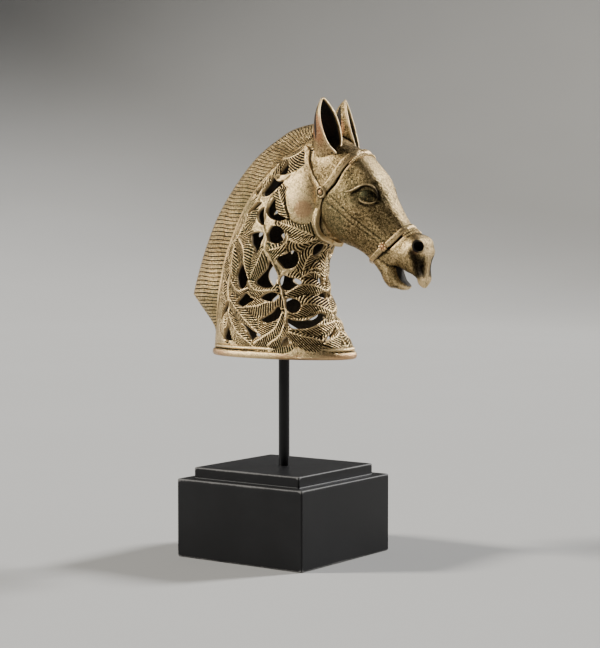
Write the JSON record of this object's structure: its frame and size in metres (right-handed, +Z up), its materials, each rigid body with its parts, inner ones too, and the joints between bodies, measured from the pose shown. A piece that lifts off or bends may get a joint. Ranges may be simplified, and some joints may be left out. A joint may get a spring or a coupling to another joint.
{
  "type": "horse head sculpture",
  "caption": "Horse head with a pierced leafwork neck, ribbed mane and halter, cast in bronze, held by a black rod over a stepped black base.",
  "frame": {"origin": "centre of the base's underside", "axes": "+Z up, +X the way the horse looks, +Y to the horse's left"},
  "size_m": [0.2076, 0.111, 0.3302],
  "materials": {
    "bronze": "antique cast bronze, grainy olive brown with rubbed pale gold edges",
    "black_metal": "satin black",
    "black_wood": "satin black paint with rubbed edges"
  },
  "bodies": {
    "root": {"horse_head": "bronze", "support_rod": "black_metal", "stepped_base": "black_wood"}
  },
  "joints": []
}
